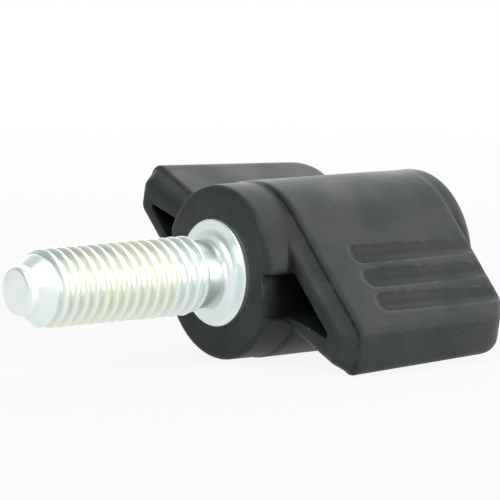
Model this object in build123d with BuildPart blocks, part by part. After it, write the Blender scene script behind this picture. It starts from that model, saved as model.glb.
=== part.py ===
from build123d import *
import math
import os

# Wing screw: a steel threaded stud moulded into a plastic wing handle. Sizes in millimetres.
# The screw axis is X, with the stud pointing to -X and X = 0 half way along the whole screw.
# Z is up, with the screw lying on its hub and on the tip of the wing at -Y.
# Places along the axis are given from the hub's front face, towards the back.

# Threaded stud, what shows of it
thread_diameter = 8.0
stud_reach = 25.0
point_diameter = 5.0
point_length = 1.1
lead_in_length = 1.9
neck_diameter = 6.9
neck_length = 2.9
run_out_length = 0.4
neck_round = 0.7
collar_diameter = 10.9
collar_lift = 0.6
collar_edge_round = 0.15

# Threaded stud, its anchor inside the plastic
collar_depth = 2.5
waist_diameter = 7.0
waist_length = 2.0
anchor_across_flats = 11.0
anchor_sides = 6
anchor_turn_deg = 30.0
anchor_length = 18.0

# Hub of the handle, with a small sloping step up where the wings begin
hub_front_diameter = 17.76
hub_diameter = 18.0
hub_step_length = 0.3
hub_length = 26.5
hub_draft_deg = 0.6
hub_front_round = 0.5
hub_back_round = 1.2

# Wings: each side of a wing is a line at a distance from the screw axis, with its own draft
wing_front = 4.4
wing_back = 24.35
ramp_normal_deg = 45.0
ramp_distance = 9.65
ramp_draft_deg = 1.3
tip_normal_deg = -12.8
tip_distance = 18.8
tip_draft_deg = 2.4
tip_height = 5.25
lower_normal_deg = -113.5
lower_draft_deg = 1.6
crown_normal_deg = 112.0
crown_inset = 0.03
ramp_edge_round = 0.8
lower_edge_round = 1.4
back_corner_round = 3.2
wing_front_round = 0.4

# Nose: the front of each wing, drawn in round the mouth of its pocket, with a shoulder at the ramp
nose_front = 2.65
nose_end = 4.8
nose_front_insets = (1.3, 1.5, 1.0)
nose_end_insets = (0.4, 0.1, 0.1)
nose_edge_round = 1.4
nose_round = 1.2

# Pocket cored out of each wing from the front
pocket_inner = 7.7
pocket_top = 0.6
pocket_ramp_wall = 2.6
pocket_end = 14.8
pocket_end_low = -5.5
pocket_bend = 10.6
pocket_bend_low = -4.3
pocket_bottom = -3.9
pocket_round = 0.35
pocket_depth = 21.0

# Grip grooves along each ramp, rounded and deepest in front, and open at the back of the wing
groove_count = 3
groove_first = 6.3
groove_pitch = 3.1
groove_width = 2.4
groove_depth = 0.65
groove_draft_deg = 0.2
groove_start = 8.3

wing_turns = (1, -1)
middle_share = 0.5
face_x = (stud_reach - hub_length) / 2
lengthwise = Plane(origin=(face_x, 0, 0), x_dir=(1, 0, 0), z_dir=(0, -1, 0))


def fall(run, angle_deg):
    """Sideways drift of a face with this draft over a run."""
    return run * math.tan(math.radians(angle_deg))


def hub_radius(x):
    """Radius of the hub at a place from the front of the wings to the back."""
    return hub_diameter / 2 - fall(x - wing_front, hub_draft_deg)


def across(x, turn):
    """Plane across the screw axis, its own x pointing out along one of the two wings."""
    return Plane(origin=(face_x + x, 0, 0), x_dir=(0, -turn, 0), z_dir=(-1, 0, 0))


def toward(angle_deg, distance, start=(0, 0)):
    """Point at a distance from a start in the direction of an angle."""
    angle = math.radians(angle_deg)
    return (start[0] + distance * math.cos(angle), start[1] + distance * math.sin(angle))


def corner(first, second):
    """Point where two sides meet, each given as its normal's angle and its distance from the axis."""
    a, b = math.radians(first[0]), math.radians(second[0])
    turn = math.sin(b - a)
    along = (first[1] * math.sin(b) - second[1] * math.sin(a)) / turn
    above = (second[1] * math.cos(a) - first[1] * math.cos(b)) / turn
    return (along, above)


def lower_distance():
    """Distance from the axis to the lower side, which runs off the foot of the tip."""
    tip_top = corner((ramp_normal_deg, ramp_distance), (tip_normal_deg, tip_distance))
    tip_foot = toward(tip_normal_deg - 90, tip_height, tip_top)
    angle = math.radians(lower_normal_deg)
    return tip_foot[0] * math.cos(angle) + tip_foot[1] * math.sin(angle)


def wing_sides(x, insets=(0, 0, 0)):
    """Ramp, tip and lower side of a wing at a place along the axis, each drawn in by its inset."""
    normals = (ramp_normal_deg, tip_normal_deg, lower_normal_deg)
    distances = (ramp_distance, tip_distance, lower_distance())
    drafts = (ramp_draft_deg, tip_draft_deg, lower_draft_deg)
    rows = zip(normals, distances, drafts, insets)
    return [(n, d - i - fall(x - wing_front, t)) for n, d, t, i in rows]


def wing_section(x, turn):
    """Section of a wing: an arc off the crown of the hub, then the ramp, the tip and the lower side."""
    ramp, tip, lower = wing_sides(x)
    crown = hub_radius(x) - crown_inset
    bend = math.cos(math.radians(crown_normal_deg - ramp_normal_deg))
    arc_radius = (ramp[1] - crown * bend) / (1 - bend)
    centre = toward(crown_normal_deg, crown - arc_radius)
    off_crown = toward(crown_normal_deg, arc_radius, centre)
    half_way = toward((crown_normal_deg + ramp_normal_deg) / 2, arc_radius, centre)
    on_ramp = toward(ramp_normal_deg, arc_radius, centre)
    foot = toward(lower_normal_deg, lower[1])
    with BuildSketch(across(x, turn)) as section:
        with BuildLine():
            ThreePointArc(off_crown, half_way, on_ramp)
            Polyline(on_ramp, corner(ramp, tip), corner(tip, lower), foot, off_crown)
        make_face()
    return section.sketch


def nose_section(x, turn, insets):
    """Section of a wing's nose: the ramp, the tip and the lower side, each drawn in."""
    ramp, tip, lower = wing_sides(x, insets)
    ramp_foot = toward(ramp_normal_deg, ramp[1])
    lower_foot = toward(lower_normal_deg, lower[1])
    with BuildSketch(across(x, turn)) as section:
        with BuildLine():
            Polyline(ramp_foot, corner(ramp, tip), corner(tip, lower), lower_foot, close=True)
        make_face()
    return section.sketch


def reach(edge):
    """Distance from the screw axis to the middle of an edge."""
    middle = edge @ middle_share
    return math.hypot(middle.Y, middle.Z)


def behind(edge):
    """How far the middle of an edge lies behind the hub's front face."""
    return (edge @ middle_share).X - face_x


def rim(block, turn, normal_deg, from_x):
    """Edges round the side of a wing that faces this way, behind a place along the axis."""
    out, up = toward(normal_deg, turn)
    way = Vector(0, -out, up)
    side = block.faces().sort_by(lambda f: f.normal_at().dot(way))[-1]
    return [e for e in side.edges() if behind(e) > from_x and reach(e) > hub_radius(from_x)]


def front_rim(block):
    """Edges round the front of a wing, outside the hub."""
    front = block.faces().sort_by(Axis.X)[0]
    return [e for e in front.edges() if reach(e) > hub_radius(hub_length)]


def make_wing(turn):
    """One wing, lofted from front to back with its drafts and with its edges rounded."""
    with BuildPart() as wing:
        loft([wing_section(wing_front, turn), wing_section(wing_back, turn)], ruled=True)
        back = wing.faces().sort_by(Axis.X)[-1]
        fillet(back.edges().sort_by(reach)[-1], back_corner_round)
        fillet(rim(wing, turn, lower_normal_deg, wing_front), lower_edge_round)
        fillet(rim(wing, turn, ramp_normal_deg, wing_front), ramp_edge_round)
        fillet(front_rim(wing), wing_front_round)
    return wing.part


def make_nose(turn):
    """The nose of one wing, let into the wing behind it."""
    front = nose_section(nose_front, turn, nose_front_insets)
    end = nose_section(nose_end, turn, nose_end_insets)
    with BuildPart() as nose:
        loft([front, end], ruled=True)
        corners = [e for e in nose.edges() if nose_front < behind(e) < nose_end]
        fillet(sorted(corners, key=reach)[-2:], nose_edge_round)
        fillet(front_rim(nose), nose_round)
    return nose.part


def make_pocket(turn):
    """The core of one wing's pocket, from the front face of the hub inwards."""
    wall_sum = (ramp_distance - pocket_ramp_wall) / math.cos(math.radians(ramp_normal_deg))
    with BuildPart() as pocket:
        with BuildSketch(across(0, turn)) as mouth:
            with BuildLine():
                Polyline(
                    (pocket_inner, pocket_top),
                    (wall_sum - pocket_top, pocket_top),
                    (pocket_end, wall_sum - pocket_end),
                    (pocket_end, pocket_end_low),
                    (pocket_bend, pocket_bend_low),
                    (pocket_inner, pocket_bottom),
                    close=True,
                )
            make_face()
            fillet(mouth.vertices(), pocket_round)
        extrude(amount=-pocket_depth)
    return pocket.part


def make_groove(turn, number):
    """Cutter for one grip groove: a rod with a ball end lying along the ramp."""
    out, up = Vector(0, -turn, 0), Vector(0, 0, turn)
    tilt = math.radians(ramp_normal_deg)
    draft = math.radians(groove_draft_deg)
    normal = out * math.cos(tilt) + up * math.sin(tilt)
    down = out * math.sin(tilt) - up * math.cos(tilt)
    rod_axis = Vector(1, 0, 0) * math.cos(draft) - normal * math.sin(draft)
    rod = (groove_width**2 / 4 + groove_depth**2) / (2 * groove_depth)
    centre_x = groove_start + groove_width / 2
    height = ramp_distance - fall(centre_x - wing_front, ramp_draft_deg) + rod - groove_depth
    place = down * (groove_first + number * groove_pitch)
    start = Vector(face_x + centre_x, 0, 0) + normal * height + place
    length = hub_length - centre_x
    with BuildPart() as groove:
        with BuildSketch(Plane(origin=start, x_dir=rod_axis, z_dir=down)):
            with BuildLine():
                CenterArc((0, 0), rod, 90, 90)
                Polyline((0, rod), (length, rod), (length, 0), (-rod, 0))
            make_face()
        revolve(axis=Axis(start, rod_axis))
    return groove.part


# Steel stud: point, lead-in, thread at its full diameter, neck, collar and the anchor behind it
tip_x = -stud_reach
thread_radius = thread_diameter / 2
neck_radius = neck_diameter / 2
neck_start = -collar_lift - neck_length
round_start = -collar_lift - neck_round
waist_end = collar_depth + waist_length
with BuildPart() as threaded_stud:
    with BuildSketch(lengthwise):
        with BuildLine():
            Polyline(
                (round_start, neck_radius),
                (neck_start, neck_radius),
                (neck_start - run_out_length, thread_radius),
                (tip_x + point_length + lead_in_length, thread_radius),
                (tip_x + point_length, point_diameter / 2),
                (tip_x, point_diameter / 2),
                (tip_x, 0),
                (waist_end, 0),
                (waist_end, waist_diameter / 2),
                (collar_depth, waist_diameter / 2),
                (collar_depth, collar_diameter / 2),
                (-collar_lift, collar_diameter / 2),
                (-collar_lift, neck_radius + neck_round),
            )
            CenterArc((round_start, neck_radius + neck_round), neck_round, -90, 90)
        make_face()
    revolve(axis=Axis.X)
    with BuildSketch(across(waist_end, 1)):
        RegularPolygon(anchor_across_flats / 2, anchor_sides, major_radius=False, rotation=anchor_turn_deg)
    extrude(amount=-anchor_length)
    collar_x = face_x - collar_lift
    rims = threaded_stud.edges().filter_by(GeomType.CIRCLE)
    rims = rims.filter_by_position(Axis.X, collar_x, collar_x)
    fillet(rims.sort_by(SortBy.RADIUS)[-1], collar_edge_round)

# Plastic wing handle, moulded round the stud
with BuildPart() as wing_handle:
    with BuildSketch(lengthwise):
        with BuildLine():
            Polyline(
                (0, 0),
                (0, hub_front_diameter / 2),
                (wing_front - hub_step_length, hub_front_diameter / 2),
                (wing_front, hub_radius(wing_front)),
                (hub_length, hub_radius(hub_length)),
                (hub_length, 0),
                close=True,
            )
        make_face()
    revolve(axis=Axis.X)
    rims = wing_handle.edges().filter_by(GeomType.CIRCLE).sort_by(Axis.X)
    fillet(rims[0], hub_front_round)
    fillet(rims[-1], hub_back_round)
    for turn in wing_turns:
        add(make_wing(turn))
        add(make_nose(turn))
    for turn in wing_turns:
        add(make_pocket(turn), mode=Mode.SUBTRACT)
        for number in range(groove_count):
            add(make_groove(turn, number), mode=Mode.SUBTRACT)
    add(threaded_stud.part, mode=Mode.SUBTRACT)

threaded_stud.part.label = "threaded_stud"
wing_handle.part.label = "wing_handle"

os.makedirs("parts", exist_ok=True)
export_step(threaded_stud.part, "parts/threaded_stud.step")
export_step(wing_handle.part, "parts/wing_handle.step")
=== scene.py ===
"""Looks of the wing screw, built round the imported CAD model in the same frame, in metres.

The moulded handle keeps its CAD mesh and gets a plastic finish. The stud is built again with its
helical thread cut, and stands for the plain CAD stud.
"""

import logging
import math
from dataclasses import dataclass
from enum import Enum
from typing import Union

import bmesh
import bpy
from mathutils import Matrix, Vector


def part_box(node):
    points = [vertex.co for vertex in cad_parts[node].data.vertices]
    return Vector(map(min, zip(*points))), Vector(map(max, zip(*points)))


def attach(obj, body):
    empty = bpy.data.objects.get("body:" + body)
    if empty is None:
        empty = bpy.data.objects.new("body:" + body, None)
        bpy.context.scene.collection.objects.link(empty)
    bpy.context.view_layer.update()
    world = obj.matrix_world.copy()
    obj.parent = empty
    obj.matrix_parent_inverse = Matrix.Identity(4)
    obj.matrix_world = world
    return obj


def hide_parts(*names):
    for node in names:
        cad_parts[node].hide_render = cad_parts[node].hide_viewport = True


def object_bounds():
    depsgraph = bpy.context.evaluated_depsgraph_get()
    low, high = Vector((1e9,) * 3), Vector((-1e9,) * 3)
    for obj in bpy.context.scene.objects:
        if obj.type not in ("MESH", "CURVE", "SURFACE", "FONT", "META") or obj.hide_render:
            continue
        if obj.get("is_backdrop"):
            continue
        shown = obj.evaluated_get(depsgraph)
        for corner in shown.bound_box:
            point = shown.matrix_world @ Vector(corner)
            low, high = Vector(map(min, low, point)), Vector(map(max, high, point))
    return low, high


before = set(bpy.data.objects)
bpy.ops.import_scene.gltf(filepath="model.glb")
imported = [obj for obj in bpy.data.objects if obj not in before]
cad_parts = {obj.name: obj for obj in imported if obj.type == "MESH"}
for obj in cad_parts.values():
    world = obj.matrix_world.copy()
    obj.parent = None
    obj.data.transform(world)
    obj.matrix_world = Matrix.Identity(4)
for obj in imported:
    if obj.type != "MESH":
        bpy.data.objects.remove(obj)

MM = 0.001
FULL_TURN = 2 * math.pi
IMAGE_SIDE = 500
ROOT_BODY = "root"

# A mask goes from none to all, and a plain colour lets nothing through.
MASK = (0.0, 1.0)
OPAQUE = 1.0

log = logging.getLogger("wing_screw")

Socket = bpy.types.NodeSocket
Sockets = dict[str, Socket]
Value = Union[float, int, Socket]
Colour = tuple[float, float, float]
Range = tuple[float, float]
Point = tuple[float, float]
Ring = list[bmesh.types.BMVert]


class Node(Enum):
    """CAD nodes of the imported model."""

    HANDLE = "wing_handle"
    STUD = "threaded_stud"


class Slot(Enum):
    """Material slots of the record."""

    PLASTIC = "plastic"
    ZINC = "zinc_plate"


class Wave(Enum):
    """How a Map Range node goes from one value to the other."""

    STRAIGHT = "LINEAR"
    SMOOTH = "SMOOTHSTEP"


class Kind(Enum):
    """What a group's socket carries."""

    VALUE = "NodeSocketFloat"
    COUNT = "NodeSocketInt"
    VECTOR = "NodeSocketVector"
    SHAPE = "NodeSocketGeometry"
    MATERIAL = "NodeSocketMaterial"


class Output(Enum):
    """Where a tree's shader ends."""

    MATERIAL = "ShaderNodeOutputMaterial"
    WORLD = "ShaderNodeOutputWorld"


class Corner(Enum):
    """Quarter rounds of a turned profile: where each starts and how far it turns.

    Both are degrees from the axis, outwards. An edge goes from the tip's side to the outside, and
    a fillet from the inside to the handle's side.
    """

    EDGE = (180.0, -90.0)
    FILLET = (-90.0, 90.0)


class Tree:
    """Adds and links nodes in one node tree."""

    def __init__(self, tree: bpy.types.NodeTree) -> None:
        """Takes the tree to build in.

        Args:
            tree: a material's, world's or node group's tree.
        """
        self.tree = tree

    @classmethod
    def blank(cls, owner: Union[bpy.types.Material, bpy.types.World]) -> "Tree":
        """Empties the tree of a new material or world.

        Args:
            owner: the material or the world.

        Returns:
            Its tree, to build in.
        """
        owner.use_nodes = True
        owner.node_tree.nodes.clear()
        return cls(owner.node_tree)

    def add(self, kind: str, **settings: object) -> bpy.types.Node:
        """Adds a node.

        Args:
            kind: the node's type name.
            settings: properties of the node to set.

        Returns:
            The new node.
        """
        node = self.tree.nodes.new(kind)
        for name, value in settings.items():
            setattr(node, name, value)
        return node

    def feed(self, node: bpy.types.Node, values: dict[Union[str, int], object]) -> None:
        """Links a node's inputs, or sets their values.

        Args:
            node: the node to feed.
            values: an output socket or a plain value for each input, by its name or number. A
                plain colour has three numbers.
        """
        for key, value in values.items():
            socket = node.inputs[key]
            if isinstance(value, Socket):
                self.tree.links.new(value, socket)
            elif socket.type == "RGBA":
                socket.default_value = (*value, OPAQUE)
            else:
                socket.default_value = value

    def sockets(
        self, inputs: dict[str, Kind], outputs: dict[str, Kind]
    ) -> tuple[Sockets, bpy.types.Node]:
        """Gives a group its named inputs and outputs.

        Args:
            inputs: what each input carries, by name.
            outputs: what each output carries, by name.

        Returns:
            The inputs' sockets by name, and the node that the outputs are fed to.
        """
        for way, kinds in (("INPUT", inputs), ("OUTPUT", outputs)):
            for name, kind in kinds.items():
                self.tree.interface.new_socket(name=name, in_out=way, socket_type=kind.value)
        entry = self.add("NodeGroupInput")
        return {name: entry.outputs[name] for name in inputs}, self.add("NodeGroupOutput")

    def end(self, output: Output, shader: Socket) -> None:
        """Shows a shader: the tree's last link."""
        self.feed(self.add(output.value), {"Surface": shader})

    def coordinates(self, kind: str) -> Socket:
        """Texture coordinates of a kind, such as Object or Normal."""
        return self.add("ShaderNodeTexCoord").outputs[kind]

    def math(self, operation: str, *operands: Value) -> Socket:
        """Adds a Math node.

        Args:
            operation: the node's operation.
            operands: the values that it takes, one to three of them.

        Returns:
            The result's socket.
        """
        node = self.add("ShaderNodeMath", operation=operation)
        self.feed(node, dict(enumerate(operands)))
        return node.outputs[0]

    def measure(self, operation: str, *vectors: object) -> Socket:
        """Adds a Vector Math node that comes down to one value.

        Args:
            operation: the node's operation, such as LENGTH.
            vectors: the vectors that it takes, one or two of them.

        Returns:
            The value's socket.
        """
        node = self.add("ShaderNodeVectorMath", operation=operation)
        self.feed(node, dict(enumerate(vectors)))
        return node.outputs["Value"]

    def split(self, vector: Socket) -> tuple[Socket, ...]:
        """Takes a vector apart.

        Args:
            vector: the vector's socket.

        Returns:
            The sockets of its X, Y and Z.
        """
        node = self.add("ShaderNodeSeparateXYZ")
        self.feed(node, {0: vector})
        return tuple(node.outputs)

    def vector(self, *parts: Value) -> Socket:
        """Puts a vector together.

        Args:
            parts: its X, Y and Z; what is left out stays zero.

        Returns:
            The vector's socket.
        """
        node = self.add("ShaderNodeCombineXYZ")
        self.feed(node, dict(enumerate(parts)))
        return node.outputs[0]

    def background_rays(self) -> Socket:
        """Adds a value that is 1 for the rays that show the background, in metal and glass too.

        Returns:
            The value's socket.
        """
        path = self.add("ShaderNodeLightPath").outputs
        shows = self.math("MAXIMUM", path["Is Camera Ray"], path["Is Glossy Ray"])
        return self.math("MAXIMUM", shows, path["Is Transmission Ray"])

    def ramp(
        self,
        value: Value,
        source: tuple[Value, Value],
        target: tuple[Value, Value] = MASK,
        wave: Wave = Wave.STRAIGHT,
    ) -> Socket:
        """Adds a Map Range node that stays within its target.

        Args:
            value: what is mapped.
            source: the values where the range starts and ends.
            target: what those two become.
            wave: the way between them.

        Returns:
            The result's socket.
        """
        node = self.add("ShaderNodeMapRange", clamp=True, interpolation_type=wave.value)
        self.feed(node, dict(enumerate((value, *source, *target))))
        return node.outputs[0]

    def mix(self, share: Value, first: object, second: object) -> Socket:
        """Mixes two colours.

        Args:
            share: how much of the second colour shows.
            first: a colour or a colour socket.
            second: a colour or a colour socket.

        Returns:
            The mixed colour's socket.
        """
        node = self.add("ShaderNodeMix", data_type="RGBA")
        colours = [number for number, socket in enumerate(node.inputs) if socket.type == "RGBA"]
        self.feed(node, {0: share, **dict(zip(colours, (first, second)))})
        return next(socket for socket in node.outputs if socket.type == "RGBA")

    def noise(self, place: Socket, scale: Value, detail: float) -> Socket:
        """Adds a Noise Texture.

        Args:
            place: the coordinates that it reads.
            scale: lumps to the metre.
            detail: how many finer layers it has.

        Returns:
            The noise's value, about 0.5 in the middle.
        """
        node = self.add("ShaderNodeTexNoise")
        self.feed(node, {"Vector": place, "Scale": scale, "Detail": detail})
        return node.outputs[0]


class EffectGroup:
    """A shader node group with named sockets, built once and placed in each material."""

    name = ""
    inputs: dict[str, Kind] = {}
    outputs: dict[str, Kind] = {}

    def fill(self, tree: Tree, given: Sockets) -> Sockets:
        """Builds the effect. Each effect has its own.

        Args:
            tree: the group's tree.
            given: the group's inputs by name.

        Returns:
            The sockets that feed the group's outputs, by name.
        """
        raise NotImplementedError

    def group(self) -> bpy.types.NodeTree:
        """Makes the group, or finds it when it has been made.

        Returns:
            The group's node tree.
        """
        found = bpy.data.node_groups.get(self.name)
        if found:
            return found
        made = bpy.data.node_groups.new(self.name, "ShaderNodeTree")
        tree = Tree(made)
        given, leave = tree.sockets(self.inputs, self.outputs)
        tree.feed(leave, self.fill(tree, given))
        return made

    def place(self, tree: Tree, values: dict[str, Value]) -> Sockets:
        """Places the effect in a material.

        Args:
            tree: the material's tree.
            values: what the group's inputs get, by name.

        Returns:
            The group's outputs by name.
        """
        node = tree.add("ShaderNodeGroup", node_tree=self.group())
        tree.feed(node, values)
        return {name: node.outputs[name] for name in self.outputs}


class SurfaceGrain(EffectGroup):
    """Fine lumps all over a surface, with broad patches that are a little lighter or duller."""

    name = "surface_grain"
    inputs = {"Place": Kind.VECTOR, "Grain Scale": Kind.VALUE, "Patch Scale": Kind.VALUE}
    outputs = {"Height": Kind.VALUE, "Patches": Kind.VALUE}
    grain_detail = 3.0
    patch_detail = 2.0
    patch_range = (0.32, 0.68)

    def fill(self, tree: Tree, given: Sockets) -> Sockets:
        """Builds two layers of noise.

        Args:
            tree: the group's tree.
            given: the group's inputs by name.

        Returns:
            The height of the lumps, and a mask of the patches.
        """
        grain = tree.noise(given["Place"], given["Grain Scale"], self.grain_detail)
        broad = tree.noise(given["Place"], given["Patch Scale"], self.patch_detail)
        return {"Height": grain, "Patches": tree.ramp(broad, self.patch_range, wave=Wave.SMOOTH)}


class WearAndShade(EffectGroup):
    """Rubbed edges, broken up by noise, and painted shade in the recesses and grooves, each as a
    mask.
    """

    name = "wear_and_painted_shade"
    inputs = {
        "Place": Kind.VECTOR,
        "Edge Width": Kind.VALUE,
        "Recess Width": Kind.VALUE,
        "Groove Width": Kind.VALUE,
        "Break Up Scale": Kind.VALUE,
    }
    outputs = {
        "Worn": Kind.VALUE,
        "Grime": Kind.VALUE,
        "Groove Grime": Kind.VALUE,
        "Soft Normal": Kind.VECTOR,
    }
    edge_range = (0.01, 0.12)
    break_up_range = (0.48, 0.70)
    break_up_detail = 4.0
    bevel_samples = 6
    # The two shade masks are ambient occlusion: painted shade where the piece's own walls hide a
    # spot.
    recess_range = (0.98, 0.55)
    groove_range = (0.98, 0.7)
    recess_samples = 12

    def sheltered(self, tree: Tree, width: Socket, between: Range) -> Socket:
        """A mask of the spots that the piece itself shelters.

        Args:
            tree: the tree to add it to.
            width: how far it looks for sheltering walls.
            between: the openness where the mask starts, and where it is full.

        Returns:
            The mask's socket.
        """
        # Ambient occlusion, read as a mask of painted shade.
        kind = "ShaderNodeAmbientOcclusion"
        shelter = tree.add(kind, samples=self.recess_samples, only_local=True)
        tree.feed(shelter, {"Distance": width})
        return tree.ramp(shelter.outputs["AO"], between)

    def fill(self, tree: Tree, given: Sockets) -> Sockets:
        """Compares rounded with true normals to find edges, and looks for sheltered spots.

        Args:
            tree: the group's tree.
            given: the group's inputs by name.

        Returns:
            The three masks, and the normal that rounds the edges.
        """
        rounded = tree.add("ShaderNodeBevel", samples=self.bevel_samples)
        tree.feed(rounded, {"Radius": given["Edge Width"]})
        soft = rounded.outputs["Normal"]
        true = tree.add("ShaderNodeNewGeometry").outputs["Normal"]
        turned = tree.math("SUBTRACT", 1.0, tree.measure("DOT_PRODUCT", soft, true))
        edge = tree.ramp(turned, self.edge_range)
        lumps = tree.noise(given["Place"], given["Break Up Scale"], self.break_up_detail)
        return {
            "Worn": tree.math("MULTIPLY", edge, tree.ramp(lumps, self.break_up_range)),
            "Grime": self.sheltered(tree, given["Recess Width"], self.recess_range),
            "Groove Grime": self.sheltered(tree, given["Groove Width"], self.groove_range),
            "Soft Normal": soft,
        }


class TurningMarks(EffectGroup):
    """Fine rings round the screw axis, as a lathe tool leaves them on faces square to the axis."""

    name = "turning_marks"
    inputs = {"Place": Kind.VECTOR, "Rings Per Metre": Kind.VALUE}
    outputs = {"Rings": Kind.VALUE}
    ring_detail = 1.0
    face_range = (0.75, 0.98)

    def fill(self, tree: Tree, given: Sockets) -> Sockets:
        """Reads noise along the distance from the axis, on end faces only.

        Args:
            tree: the group's tree.
            given: the group's inputs by name.

        Returns:
            The height of the rings.
        """
        _, side, up = tree.split(given["Place"])
        away = tree.measure("LENGTH", tree.vector(0.0, side, up))
        rings = tree.noise(tree.vector(away), given["Rings Per Metre"], self.ring_detail)
        facing, _, _ = tree.split(tree.coordinates("Normal"))
        ends = tree.ramp(tree.math("ABSOLUTE", facing), self.face_range)
        return {"Rings": tree.math("MULTIPLY", rings, ends)}


@dataclass(frozen=True)
class Finish:
    """What both finishes have: grain, patches, rubbed edges, and painted shade in recesses and
    grooves.
    """

    name: str
    roughness: Range
    grain_per_metre: float
    patches_per_metre: float
    grain_depth: float
    grain_strength: float
    rubbed: Colour
    edge_width: float
    wear_per_metre: float
    wear_share: float
    # Painted shade: the dark colour, reach and share of the darkening in sheltered recesses and
    # grooves.
    painted_shade_colour: Colour
    recess_width: float
    recess_shade_share: float
    groove_width: float
    groove_shade_share: float

    def clean(self, tree: Tree, place: Socket, grain: Sockets) -> Socket:
        """Colours the surface before its edges are rubbed and shade is painted in. Each finish has
        its own.

        Args:
            tree: the material's tree.
            place: Object coordinates.
            grain: the outputs of the surface's grain.

        Returns:
            The colour's socket.
        """
        raise NotImplementedError

    def relief(self, tree: Tree, place: Socket, grain: Sockets) -> Socket:
        """Gives the height of the surface. A finish may add to the plain grain.

        Args:
            tree: the material's tree; not used here.
            place: Object coordinates; not used here.
            grain: the outputs of the surface's grain.

        Returns:
            The height's socket.
        """
        return grain["Height"]

    def gloss(self, tree: Tree, shader: bpy.types.Node) -> None:
        """Sets what is the same all over the surface. Each finish has its own.

        Args:
            tree: the material's tree.
            shader: the material's Principled shader.
        """
        raise NotImplementedError

    def worn_and_shaded(self, tree: Tree, colour: Socket, wear_and_shade: Sockets) -> Socket:
        """Rubs the edges of a clean surface and paints shade into its recesses and grooves.

        Args:
            tree: the material's tree.
            colour: the clean colour.
            wear_and_shade: the outputs of the rubbed-edge and painted shade group.

        Returns:
            The colour's socket.
        """
        worn = tree.math("MULTIPLY", wear_and_shade["Worn"], self.wear_share)
        # Painted shade: sheltered recesses and grooves are darkened by how much the piece hides
        # them.
        wide = tree.math("MULTIPLY", wear_and_shade["Grime"], self.recess_shade_share)
        fine = tree.math("MULTIPLY", wear_and_shade["Groove Grime"], self.groove_shade_share)
        handled = tree.mix(worn, colour, self.rubbed)
        return tree.mix(tree.math("MAXIMUM", wide, fine), handled, self.painted_shade_colour)

    def material(self) -> bpy.types.Material:
        """Builds the finish.

        Returns:
            The material.
        """
        material = bpy.data.materials.new(self.name)
        tree = Tree.blank(material)
        place = tree.coordinates("Object")
        scales = {"Grain Scale": self.grain_per_metre, "Patch Scale": self.patches_per_metre}
        grain = SurfaceGrain().place(tree, {"Place": place, **scales})
        handling = {
            "Edge Width": self.edge_width,
            "Recess Width": self.recess_width,
            "Groove Width": self.groove_width,
            "Break Up Scale": self.wear_per_metre,
        }
        # Rubbed edges, painted shade in sheltered spots, and a normal that rounds the edges.
        wear_and_shade = WearAndShade().place(tree, {"Place": place, **handling})
        bump = tree.add("ShaderNodeBump")
        heights = {
            "Strength": self.grain_strength,
            "Distance": self.grain_depth,
            "Height": self.relief(tree, place, grain),
            "Normal": wear_and_shade["Soft Normal"],
        }
        tree.feed(bump, heights)
        shader = tree.add("ShaderNodeBsdfPrincipled")
        looks = {
            "Base Color": self.worn_and_shaded(tree, self.clean(tree, place, grain), wear_and_shade),
            "Roughness": tree.ramp(grain["Patches"], MASK, self.roughness),
            "Normal": bump.outputs["Normal"],
        }
        tree.feed(shader, looks)
        self.gloss(tree, shader)
        tree.end(Output.MATERIAL, shader.outputs[0])
        return material


@dataclass(frozen=True)
class MouldedPlastic(Finish):
    """Near-black moulded plastic: fine-grained and matt, a little paler where hands rub it."""

    name: str = "moulded_plastic"
    dark: Colour = (0.034, 0.042, 0.044)
    light: Colour = (0.054, 0.057, 0.059)
    rubbed: Colour = (0.190, 0.196, 0.198)
    # Painted shade: the near-black that sheltered pockets and grooves are darkened towards.
    painted_shade_colour: Colour = (0.006, 0.007, 0.007)
    roughness: Range = (0.54, 0.44)
    specular: float = 0.18
    grain_per_metre: float = 4200.0
    patches_per_metre: float = 160.0
    grain_depth: float = 0.02 * MM
    grain_strength: float = 0.35
    speck_range: Range = (0.60, 0.76)
    speck_share: float = 0.25
    edge_width: float = 0.8 * MM
    wear_per_metre: float = 900.0
    wear_share: float = 0.6
    # Painted shade in the pockets and in the grooves of the wings.
    recess_width: float = 10.0 * MM
    recess_shade_share: float = 0.9
    groove_width: float = 1.6 * MM
    groove_shade_share: float = 0.9

    def clean(self, tree: Tree, place: Socket, grain: Sockets) -> Socket:
        """Colours the plastic in two near-blacks, with pale specks on the highest grains.

        Args:
            tree: the material's tree.
            place: Object coordinates; not used.
            grain: the outputs of the surface's grain.

        Returns:
            The colour's socket.
        """
        body = tree.mix(grain["Patches"], self.dark, self.light)
        specks = tree.ramp(grain["Height"], self.speck_range, (0.0, self.speck_share))
        return tree.mix(specks, body, self.rubbed)

    def gloss(self, tree: Tree, shader: bpy.types.Node) -> None:
        """Sets the plastic's dull shine."""
        tree.feed(shader, {"Specular IOR Level": self.specular})


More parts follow.
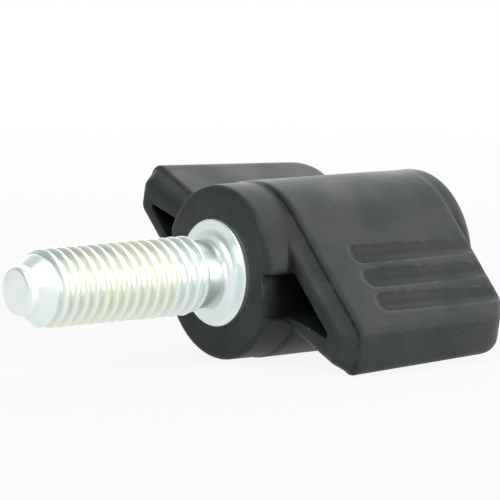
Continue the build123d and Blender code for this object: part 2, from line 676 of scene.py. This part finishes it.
@dataclass(frozen=True)
class ZincPlate(Finish):
    """Bright zinc plate on steel: a pale yellow-green film on the thread, and blue elsewhere."""

    name: str = "bright_zinc_plate"
    blue_film: Colour = (0.86, 0.94, 0.93)
    yellow_film: Colour = (0.93, 0.95, 0.78)
    rubbed: Colour = (0.93, 0.95, 0.94)
    # Painted shade: the dark teal that sheltered spots of the stud are darkened towards.
    painted_shade_colour: Colour = (0.22, 0.27, 0.26)
    roughness: Range = (0.31, 0.41)
    metallic: float = 0.9
    anisotropic: float = 0.5
    film_from: float = -23.5 * MM
    film_to: float = -6.5 * MM
    film_fade: float = 3.0 * MM
    film_patches: Range = (0.35, 1.0)
    grain_per_metre: float = 2600.0
    patches_per_metre: float = 210.0
    grain_depth: float = 0.01 * MM
    grain_strength: float = 0.25
    rings_per_metre: float = 1800.0
    ring_share: float = 8.0
    edge_width: float = 0.2 * MM
    wear_per_metre: float = 1500.0
    wear_share: float = 0.7
    # Painted shade in the neck and in the roots of the thread.
    recess_width: float = 3.0 * MM
    recess_shade_share: float = 0.15
    groove_width: float = 0.8 * MM
    groove_shade_share: float = 0.2

    def clean(self, tree: Tree, place: Socket, grain: Sockets) -> Socket:
        """Colours the plate blue, with a patchy yellow film along the thread.

        Args:
            tree: the material's tree.
            place: Object coordinates.
            grain: the outputs of the surface's grain.

        Returns:
            The colour's socket.
        """
        along, _, _ = tree.split(place)
        enters = tree.ramp(along, (self.film_from, self.film_from + self.film_fade))
        leaves = tree.ramp(along, (self.film_to, self.film_to - self.film_fade))
        film = tree.math("MULTIPLY", enters, leaves)
        patchy = tree.ramp(grain["Patches"], MASK, self.film_patches)
        return tree.mix(tree.math("MULTIPLY", film, patchy), self.blue_film, self.yellow_film)

    def relief(self, tree: Tree, place: Socket, grain: Sockets) -> Socket:
        """Adds the marks of turning to the grain.

        Args:
            tree: the material's tree.
            place: Object coordinates.
            grain: the outputs of the surface's grain.

        Returns:
            The height's socket.
        """
        sizes = {"Place": place, "Rings Per Metre": self.rings_per_metre}
        rings = TurningMarks().place(tree, sizes)["Rings"]
        return tree.math("MULTIPLY_ADD", rings, self.ring_share, grain["Height"])

    def gloss(self, tree: Tree, shader: bpy.types.Node) -> None:
        """Makes it metal, with a shine that is drawn out as turned metal's is.

        Args:
            tree: the material's tree.
            shader: the material's Principled shader.
        """
        round_axis = tree.add("ShaderNodeTangent", direction_type="RADIAL", axis="X")
        looks = {
            "Metallic": self.metallic,
            "Anisotropic": self.anisotropic,
            "Tangent": round_axis.outputs["Tangent"],
        }
        tree.feed(shader, looks)


@dataclass
class WingHandle:
    """The moulded handle: the CAD mesh as it is, in moulded plastic."""

    finish: Finish = MouldedPlastic()

    def dress(self) -> bpy.types.Object:
        """Puts the plastic on the CAD node.

        Returns:
            The handle's object.
        """
        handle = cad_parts[Node.HANDLE.value]
        handle.data.materials.clear()
        handle.data.materials.append(self.finish.material())
        return handle


class Lathe:
    """Skins rings round the screw axis into a mesh."""

    def __init__(self, steps: int) -> None:
        """Starts an empty mesh.

        Args:
            steps: how many vertices a ring has.
        """
        self.steps = steps
        self.angles = [FULL_TURN * step / steps for step in range(steps)]
        self.work = bmesh.new()

    def ring(self, x: float, radii: list[float]) -> Ring:
        """Sets one ring of vertices.

        Args:
            x: its place along the axis.
            radii: its radius at each of the angles.

        Returns:
            The ring.
        """
        spots = [(out * math.cos(a), out * math.sin(a)) for out, a in zip(radii, self.angles)]
        return [self.work.verts.new((x, *spot)) for spot in spots]

    def skin(self, rings: list[Ring]) -> None:
        """Lays faces between each ring and the next.

        Args:
            rings: the rings in order.
        """
        for first, second in zip(rings, rings[1:]):
            for j in range(self.steps):
                k = (j + 1) % self.steps
                self.work.faces.new((first[j], first[k], second[k], second[j]))

    def cap(self, ring: Ring, x: float) -> None:
        """Closes a ring with a fan of faces.

        Args:
            ring: the ring to close.
            x: its place along the axis.
        """
        middle = self.work.verts.new((x, 0.0, 0.0))
        for j in range(self.steps):
            self.work.faces.new((ring[j], ring[(j + 1) % self.steps], middle))

    def mesh(self, name: str) -> bpy.types.Mesh:
        """Hands over the finished mesh.

        Args:
            name: the mesh's name.

        Returns:
            The mesh.
        """
        made = bpy.data.meshes.new(name)
        self.work.to_mesh(made)
        self.work.free()
        return made


@dataclass
class ThreadedStud:
    """The zinc-plated stud: point, helical thread, neck, collar and the anchor in the handle."""

    tip_x: float
    end_x: float
    finish: Finish = ZincPlate()
    reach: float = 25.0 * MM
    point_radius: float = 2.5 * MM
    point_length: float = 1.1 * MM
    point_edge_round: float = 0.45 * MM
    lead_in_length: float = 1.9 * MM
    thread_radius: float = 4.0 * MM
    root_radius: float = 3.27 * MM
    pitch: float = 1.25 * MM
    run_out_length: float = 0.6 * MM
    neck_radius: float = 3.45 * MM
    neck_length: float = 2.9 * MM
    neck_round: float = 1.1 * MM
    collar_radius: float = 5.45 * MM
    collar_lift: float = 0.6 * MM
    collar_edge_round: float = 0.15 * MM
    collar_depth: float = 2.5 * MM
    waist_radius: float = 3.5 * MM
    waist_length: float = 2.0 * MM
    anchor_sides: int = 6
    anchor_half_flats: float = 5.5 * MM
    steps_per_turn: int = 96
    samples_per_pitch: int = 17
    arc_steps: int = 6
    weld: float = 0.002 * MM
    sliver: float = 0.0002 * MM
    sharp_deg: float = 32.0

    @classmethod
    def on_node(cls) -> "ThreadedStud":
        """Takes the places of the stud's two ends from its CAD node.

        Returns:
            The stud, not yet built.
        """
        low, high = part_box(Node.STUD.value)
        return cls(low.x, high.x)

    @property
    def face_x(self) -> float:
        """Where the stud comes out of the face of the hub."""
        return self.tip_x + self.reach

    @property
    def collar_front(self) -> float:
        """The collar's front, which stands a little proud of the hub."""
        return self.face_x - self.collar_lift

    @property
    def waist_end(self) -> float:
        """Where the waist behind the collar meets the anchor."""
        return self.face_x + self.collar_depth + self.waist_length

    @property
    def thread_start(self) -> float:
        """Where the lead-in cone begins."""
        return self.tip_x + self.point_length

    @property
    def thread_end(self) -> float:
        """Where the run-out has come down to the neck."""
        return self.collar_front - self.neck_length

    @property
    def turns(self) -> int:
        """Turns of the helix, with one more so that both ends are cut off square."""
        return math.ceil((self.thread_end - self.thread_start) / self.pitch) + 1

    def quarter_round(self, corner: Corner, centre: Point, radius: float) -> list[Point]:
        """Points of a quarter round in the stud's profile.

        Args:
            corner: which way it turns.
            centre: its centre, as a place along the axis and a distance from it.
            radius: its radius.

        Returns:
            The points, ends included.
        """
        start, sweep = corner.value
        shares = [step / self.arc_steps for step in range(self.arc_steps + 1)]
        angles = [math.radians(start + sweep * share) for share in shares]
        x, out = centre
        return [(x + radius * math.cos(a), out + radius * math.sin(a)) for a in angles]

    def flats(self, angle: float) -> float:
        """Radius of the hexagonal anchor at an angle round the axis."""
        side = FULL_TURN / self.anchor_sides
        return self.anchor_half_flats / math.cos((angle + side / 2) % side - side / 2)

    def point_profile(self) -> list[Point]:
        """Profile of the point, from its end face to the foot of the lead-in cone.

        Returns:
            The profile's points.
        """
        edge = self.point_edge_round
        centre = (self.tip_x + edge, self.point_radius - edge)
        rounded = self.quarter_round(Corner.EDGE, centre, edge)
        return rounded + [(self.thread_start, self.point_radius)]

    def collar_profile(self) -> list[Point]:
        """Profile from the end of the thread over the neck and the collar to the waist.

        Returns:
            The profile's points.
        """
        inner, edge = self.neck_round, self.collar_edge_round
        inner_centre = (self.collar_front - inner, self.neck_radius + inner)
        edge_centre = (self.collar_front + edge, self.collar_radius - edge)
        back = self.face_x + self.collar_depth
        return [
            (self.thread_end, self.neck_radius),
            *self.quarter_round(Corner.FILLET, inner_centre, inner),
            *self.quarter_round(Corner.EDGE, edge_centre, edge),
            (back, self.collar_radius),
            (back, self.waist_radius),
            (self.waist_end, self.waist_radius),
        ]

    def shells(self) -> bpy.types.Mesh:
        """Builds the two open shells that close the thread: the point, and all behind the thread.

        Returns:
            A mesh whose open rings lie on the first and last ring of the thread.
        """
        lathe = Lathe(self.steps_per_turn)
        point = [lathe.ring(x, [out] * self.steps_per_turn) for x, out in self.point_profile()]
        lathe.skin(point)
        lathe.cap(point[0], self.tip_x)
        behind = [lathe.ring(x, [out] * self.steps_per_turn) for x, out in self.collar_profile()]
        hexagon = [self.flats(angle) for angle in lathe.angles]
        behind += [lathe.ring(x, hexagon) for x in (self.waist_end, self.end_x)]
        lathe.skin(behind)
        lathe.cap(behind[-1], self.end_x)
        return lathe.mesh("stud_shells")

    def thread_inputs(self) -> dict[str, Union[float, int]]:
        """Names the thread's sizes as its tree does.

        Returns:
            The sizes by name.
        """
        return {
            "Pitch": self.pitch,
            "Turns": self.turns,
            "Steps per Turn": self.steps_per_turn,
            "Samples per Pitch": self.samples_per_pitch,
            "Start": self.thread_start,
            "End": self.thread_end,
            "Crest Radius": self.thread_radius,
            "Root Radius": self.root_radius,
            "Point Radius": self.point_radius,
            "Lead In": self.lead_in_length,
            "Neck Radius": self.neck_radius,
            "Run Out": self.run_out_length,
            "Weld": self.weld,
        }

    def flank(self, tree: Tree, given: Sockets, place: Socket, off_crest: Socket) -> Socket:
        """Works out the thread's radius, with its lead-in cone and its run-out.

        Args:
            tree: the thread's tree.
            given: the thread's sizes by name.
            place: the place along the axis.
            off_crest: 0 on a crest and 1 in a root.

        Returns:
            The radius's socket.
        """
        start, end = given["Start"], given["End"]
        crest, root, neck = given["Crest Radius"], given["Root Radius"], given["Neck Radius"]
        thread = tree.ramp(off_crest, MASK, (crest, root), Wave.SMOOTH)
        last_turn = tree.math("SUBTRACT", end, given["Pitch"])
        rising = tree.ramp(place, (last_turn, end), (root, neck))
        run_out = tree.math("SUBTRACT", end, given["Run Out"])
        falling = tree.ramp(place, (run_out, end), (crest, neck))
        cone_end = tree.math("ADD", start, given["Lead In"])
        cone = tree.ramp(place, (start, cone_end), (given["Point Radius"], crest))
        ridge = tree.math("MINIMUM", tree.math("MAXIMUM", thread, rising), falling)
        return tree.math("MINIMUM", ridge, cone)

    def wound_strip(self, tree: Tree, given: Sockets) -> Socket:
        """Winds a strip that is one pitch wide round the axis.

        The strip starts flat, one by one about the origin. Its X becomes the way round the axis,
        and its Y the way along it.

        Args:
            tree: the thread's tree.
            given: the thread's sizes by name.

        Returns:
            The socket of the wound strip.
        """
        side = 1.0
        half = side / 2
        strip = tree.add("GeometryNodeMeshGrid")
        steps = tree.math("MULTIPLY_ADD", given["Turns"], given["Steps per Turn"], 1.0)
        tree.feed(strip, {"Size X": side, "Size Y": side})
        tree.feed(strip, {"Vertices X": steps, "Vertices Y": given["Samples per Pitch"]})
        around, over, _ = tree.split(tree.add("GeometryNodeInputPosition").outputs[0])
        wound = tree.math("MULTIPLY", tree.math("ADD", around, half), given["Turns"])
        pitches = tree.math("SUBTRACT", tree.math("ADD", wound, over), half)
        uncut = tree.math("MULTIPLY_ADD", pitches, given["Pitch"], given["Start"])
        place = tree.math("MINIMUM", tree.math("MAXIMUM", uncut, given["Start"]), given["End"])
        off_crest = tree.math("ABSOLUTE", tree.math("DIVIDE", over, half))
        radius = self.flank(tree, given, place, off_crest)
        angle = tree.math("MULTIPLY", wound, FULL_TURN)
        across = tree.math("MULTIPLY", radius, tree.math("COSINE", angle))
        up = tree.math("MULTIPLY", radius, tree.math("SINE", angle))
        bent = tree.add("GeometryNodeSetPosition")
        tree.feed(bent, {"Geometry": strip.outputs["Mesh"]})
        tree.feed(bent, {"Position": tree.vector(place, across, up)})
        return bent.outputs[0]

    def thread_tree(self) -> bpy.types.NodeTree:
        """Builds the Geometry Nodes tree that winds the thread and welds it to the shells.

        Returns:
            The tree, with its sizes as named inputs.
        """
        made = bpy.data.node_groups.new("helical_thread", "GeometryNodeTree")
        tree = Tree(made)
        inputs = {"Shells": Kind.SHAPE}
        for name, size in self.thread_inputs().items():
            inputs[name] = Kind.COUNT if isinstance(size, int) else Kind.VALUE
        inputs["Finish"] = Kind.MATERIAL
        given, leave = tree.sockets(inputs, {"Stud": Kind.SHAPE})
        both = tree.add("GeometryNodeJoinGeometry")
        for shape in (given["Shells"], self.wound_strip(tree, given)):
            tree.feed(both, {0: shape})
        welded = tree.add("GeometryNodeMergeByDistance")
        tree.feed(welded, {"Geometry": both.outputs[0], "Distance": given["Weld"]})
        real = tree.add("GeometryNodeRealizeInstances")
        tree.feed(real, {0: welded.outputs[0]})
        dressed = tree.add("GeometryNodeSetMaterial")
        tree.feed(dressed, {"Geometry": real.outputs[0], "Material": given["Finish"]})
        tree.feed(leave, {"Stud": dressed.outputs[0]})
        return made

    def build(self) -> bpy.types.Object:
        """Builds the stud as one closed mesh.

        Returns:
            The stud's object, at the origin.
        """
        finish = self.finish.material()
        stud = bpy.data.objects.new("zinc_stud", self.shells())
        bpy.context.scene.collection.objects.link(stud)
        tree = self.thread_tree()
        modifier = stud.modifiers.new("thread", "NODES")
        modifier.node_group = tree
        names = {s.name: s.identifier for s in tree.interface.items_tree if s.in_out == "INPUT"}
        for name, value in {**self.thread_inputs(), "Finish": finish}.items():
            modifier[names[name]] = value
        evaluated = stud.evaluated_get(bpy.context.evaluated_depsgraph_get())
        cut = bpy.data.meshes.new_from_object(evaluated)
        stud.modifiers.remove(modifier)
        stud.data = cut
        self.close(cut)
        cut.materials.clear()
        cut.materials.append(finish)
        return stud

    def close(self, mesh: bpy.types.Mesh) -> None:
        """Turns all faces outwards, and smooths all but the sharp edges.

        Args:
            mesh: the stud's mesh.
        """
        work = bmesh.new()
        work.from_mesh(mesh)
        bmesh.ops.dissolve_degenerate(work, dist=self.sliver, edges=work.edges)
        bmesh.ops.recalc_face_normals(work, faces=work.faces)
        if work.calc_volume(signed=True) < 0:
            bmesh.ops.reverse_faces(work, faces=work.faces)
        for face in work.faces:
            face.material_index = 0
        open_edges = sum(1 for edge in work.edges if not edge.is_manifold)
        log.info("stud: %d faces, %d open edges", len(work.faces), open_edges)
        work.to_mesh(mesh)
        work.free()
        mesh.shade_smooth()
        mesh.set_sharp_from_angle(angle=math.radians(self.sharp_deg))

    def dress(self) -> bpy.types.Object:
        """Builds the stud and sets it in the place of the CAD node.

        Returns:
            The stud's object.
        """
        stud = self.build()
        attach(stud, ROOT_BODY)
        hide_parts(Node.STUD.value)
        return stud


def direction(azimuth_deg: float, elevation_deg: float) -> Vector:
    """The way from the screw to a camera, a lamp or a part of the room.

    Args:
        azimuth_deg: 0 stands at -Y, and more turns towards -X.
        elevation_deg: height above the horizon.

    Returns:
        The direction, of length 1.
    """
    azimuth, elevation = math.radians(azimuth_deg), math.radians(elevation_deg)
    level = math.cos(elevation)
    return Vector((-math.sin(azimuth) * level, -math.cos(azimuth) * level, math.sin(elevation)))


def aimed(azimuth_deg: float, elevation_deg: float, distance: float, target: Vector) -> Matrix:
    """Place of a camera or lamp that looks at a target.

    Args:
        azimuth_deg: see direction; 0 looks along +Y.
        elevation_deg: height above the horizon.
        distance: how far off it is.
        target: what it looks at.

    Returns:
        The matrix to give the object.
    """
    azimuth = math.radians(azimuth_deg)
    right = Vector((math.cos(azimuth), -math.sin(azimuth), 0.0))
    back = direction(azimuth_deg, elevation_deg)
    up = back.cross(right)
    turned = Matrix((right, up, back)).transposed().to_4x4()
    return Matrix.Translation(target + back * distance) @ turned


@dataclass(frozen=True)
class Lamp:
    """One soft area lamp, aimed at the middle of the screw."""

    name: str
    azimuth_deg: float
    elevation_deg: float
    distance: float
    width: float
    watts: float

    def build(self) -> bpy.types.Object:
        """Makes the lamp.

        Returns:
            The lamp's object.
        """
        light = bpy.data.lights.new(self.name, "AREA")
        light.shape = "DISK"
        light.size = self.width
        light.energy = self.watts
        lamp = bpy.data.objects.new(self.name, light)
        lamp.matrix_world = aimed(self.azimuth_deg, self.elevation_deg, self.distance, Vector())
        bpy.context.scene.collection.objects.link(lamp)
        return lamp


@dataclass
class Studio:
    """Camera, floor, world and lamps.

    floor_white_share is how white the floor looks beside the screw and further off, at the two
    distances of floor_white_range. sky_levels are the brightness of the room and of its dim side,
    which fades in between the angles of dim_cosines, and sky_strengths how much of that lights
    things, and how much shows.
    """

    face_x: float
    azimuth_deg: float = 36.98
    elevation_deg: float = 7.0
    distance: float = 0.8
    pixels_per_metre: float = 9897.0
    face_pixel: Point = (217.2, 272.4)
    sensor_mm: float = 36.0
    clip_range: Range = (0.01, 100.0)
    floor_side: float = 20.0
    floor_colour: Colour = (0.65, 0.65, 0.65)
    floor_white_share: Range = (0.9, 1.0)
    floor_white_range: Range = (0.05, 0.25)
    dim_side_deg: tuple[float, float] = (118.0, 40.0)
    dim_cosines: Range = (0.7, 0.97)
    sky_levels: Range = (1.0, 0.45)
    sky_strengths: Range = (0.12, 1.0)
    lamps: tuple[Lamp, ...] = (
        Lamp("key_lamp", 250.0, 48.0, distance=0.50, width=0.40, watts=0.65),
        Lamp("top_lamp", 66.0, 48.0, distance=0.45, width=0.22, watts=0.95),
        Lamp("fill_lamp", -22.0, 14.0, distance=0.50, width=0.22, watts=1.4),
        Lamp("side_lamp", -85.0, 16.0, distance=0.50, width=0.25, watts=0.6),
        Lamp("back_lamp", 217.0, 18.0, distance=0.50, width=0.40, watts=0.9),
    )

    def camera(self) -> bpy.types.Object:
        """Sets the camera at the photograph's viewing angle, with the hub's face at its pixel.

        Returns:
            The camera's object.
        """
        data = bpy.data.cameras.new("camera")
        data.sensor_width = self.sensor_mm
        data.lens = self.sensor_mm * self.pixels_per_metre * self.distance / IMAGE_SIDE
        data.clip_start, data.clip_end = self.clip_range
        camera = bpy.data.objects.new("camera", data)
        face = Vector((self.face_x, 0.0, 0.0))
        place = aimed(self.azimuth_deg, self.elevation_deg, self.distance, face)
        middle = IMAGE_SIDE / 2
        right, down = self.face_pixel
        slide = Vector((middle - right, down - middle, 0.0)) / self.pixels_per_metre
        camera.matrix_world = place @ Matrix.Translation(slide)
        bpy.context.scene.collection.objects.link(camera)
        bpy.context.scene.camera = camera
        return camera

    def floor_finish(self) -> bpy.types.Material:
        """Makes the floor: pale and matt under the lamps, and near white to the eye.

        Returns:
            The material.
        """
        material = bpy.data.materials.new("floor")
        tree = Tree.blank(material)
        matt = tree.add("ShaderNodeBsdfDiffuse")
        tree.feed(matt, {"Color": self.floor_colour})
        white = tree.add("ShaderNodeEmission")
        away = tree.measure("LENGTH", tree.coordinates("Object"))
        share = tree.ramp(away, self.floor_white_range, self.floor_white_share, Wave.SMOOTH)
        shown = tree.math("MULTIPLY", tree.background_rays(), share)
        both = tree.add("ShaderNodeMixShader")
        tree.feed(both, {0: shown, 1: matt.outputs[0], 2: white.outputs[0]})
        tree.end(Output.MATERIAL, both.outputs[0])
        return material

    def floor(self, height: float) -> bpy.types.Object:
        """Lays the pale floor under the screw.

        Args:
            height: the screw's lowest point.

        Returns:
            The floor's object.
        """
        half = self.floor_side / 2
        outline = ((-half, -half), (half, -half), (half, half), (-half, half))
        mesh = bpy.data.meshes.new("floor")
        mesh.from_pydata([(x, y, height) for x, y in outline], [], [tuple(range(len(outline)))])
        mesh.materials.append(self.floor_finish())
        floor = bpy.data.objects.new("floor", mesh)
        bpy.context.scene.collection.objects.link(floor)
        floor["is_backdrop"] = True
        return floor

    def world(self) -> bpy.types.World:
        """Lights the room: white all round, but dimmer high up past the stud, on the far side.

        Returns:
            The world.
        """
        world = bpy.data.worlds.new("studio")
        tree = Tree.blank(world)
        way = tree.coordinates("Generated")
        near_dim = tree.measure("DOT_PRODUCT", way, direction(*self.dim_side_deg))
        level = tree.ramp(near_dim, self.dim_cosines, self.sky_levels, Wave.SMOOTH)
        strength = tree.ramp(tree.background_rays(), MASK, self.sky_strengths)
        sky = tree.add("ShaderNodeBackground")
        tree.feed(sky, {"Strength": tree.math("MULTIPLY", level, strength)})
        tree.end(Output.WORLD, sky.outputs[0])
        bpy.context.scene.world = world
        return world

    def build(self, lowest: float) -> None:
        """Sets up the whole studio.

        Args:
            lowest: the screw's lowest point.
        """
        bpy.context.scene.view_settings.view_transform = "Standard"
        self.camera()
        self.floor(lowest)
        self.world()
        for lamp in self.lamps:
            lamp.build()


def main() -> None:
    logging.basicConfig(level=logging.INFO, format="%(name)s: %(message)s")
    cad_low, cad_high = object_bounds()
    stud = ThreadedStud.on_node()
    for piece in (WingHandle().dress(), stud.dress()):
        log.info("dressed %s with %s", piece.name, piece.data.materials[0].name)
    Studio(stud.face_x).build(cad_low.z)


if __name__ == "__main__":
    main()
